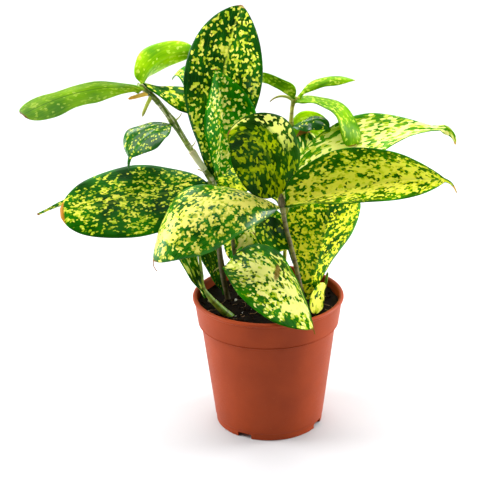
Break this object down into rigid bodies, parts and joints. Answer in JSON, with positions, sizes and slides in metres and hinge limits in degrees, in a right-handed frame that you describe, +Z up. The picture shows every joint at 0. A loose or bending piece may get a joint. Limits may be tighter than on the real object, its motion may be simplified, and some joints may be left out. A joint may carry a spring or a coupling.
{
  "type": "potted spotted foliage plant",
  "caption": "Gold dust dracaena with cream-spotted green leaves on thin woody stems, growing in a round terracotta-coloured plastic nursery pot.",
  "frame": {"origin": "under the middle of the whole plant's box, on the surface that the pot stands on; the pot's axis is at x 17.4 mm, y -26.9 mm", "axes": "+Z up along the pot's axis, -Y towards the plant's front, +X to the right seen from the front"},
  "size_m": [0.3324, 0.2034, 0.3332],
  "materials": {
    "terracotta_plastic": "matte moulded plastic with a soft sheen",
    "potting_soil": "dark crumbly peat with pale perlite grains",
    "woody_stem": "thin brown-olive bark with ringed nodes",
    "green_shoot": "smooth green young stem",
    "dark_spotted_leaf": "glossy dark green leaf dusted with cream and yellow spots",
    "pale_spotted_leaf": "glossy leaf, mostly cream-yellow over green",
    "lime_young_leaf": "glossy young lime-green leaf with faint spots"
  },
  "bodies": {
    "root": {"pot": "terracotta_plastic", "soil": "potting_soil", "stem_centre": "woody_stem", "stem_left": "woody_stem", "stem_back": "woody_stem", "stem_inner": "woody_stem", "shoot_left": "green_shoot", "shoot_right": "green_shoot", "leaf_tall_back": "dark_spotted_leaf", "leaf_tall_front": "dark_spotted_leaf", "leaf_left_broad": "dark_spotted_leaf", "leaf_left_hidden": "dark_spotted_leaf", "leaf_behind_tall": "dark_spotted_leaf", "leaf_left_hanging": "dark_spotted_leaf", "leaf_sucker_left": "dark_spotted_leaf", "leaf_spotted_top": "dark_spotted_leaf", "leaf_centre_arching": "dark_spotted_leaf", "leaf_centre_narrow": "dark_spotted_leaf", "leaf_right_standing": "dark_spotted_leaf", "leaf_inner_short": "dark_spotted_leaf", "leaf_rear_left": "dark_spotted_leaf", "leaf_small_nodding": "dark_spotted_leaf", "leaf_rear_centre": "dark_spotted_leaf", "leaf_rear_upper": "dark_spotted_leaf", "leaf_rear_right": "dark_spotted_leaf", "leaf_inner_dark": "dark_spotted_leaf", "leaf_rear_low_left": "dark_spotted_leaf", "leaf_rear_low": "dark_spotted_leaf", "leaf_young_left": "dark_spotted_leaf", "leaf_right_broad": "pale_spotted_leaf", "leaf_right_upper": "pale_spotted_leaf", "leaf_low_over_rim": "pale_spotted_leaf", "leaf_front_drooping": "pale_spotted_leaf", "leaf_sprout_pale": "pale_spotted_leaf", "leaf_inner_pale": "pale_spotted_leaf", "leaf_lime_left": "lime_young_leaf", "leaf_lime_upright": "lime_young_leaf", "leaf_lime_back_left": "lime_young_leaf", "leaf_lime_back_arching": "lime_young_leaf", "leaf_lime_back_small": "lime_young_leaf", "leaf_lime_back_round": "lime_young_leaf"}
  },
  "joints": []
}
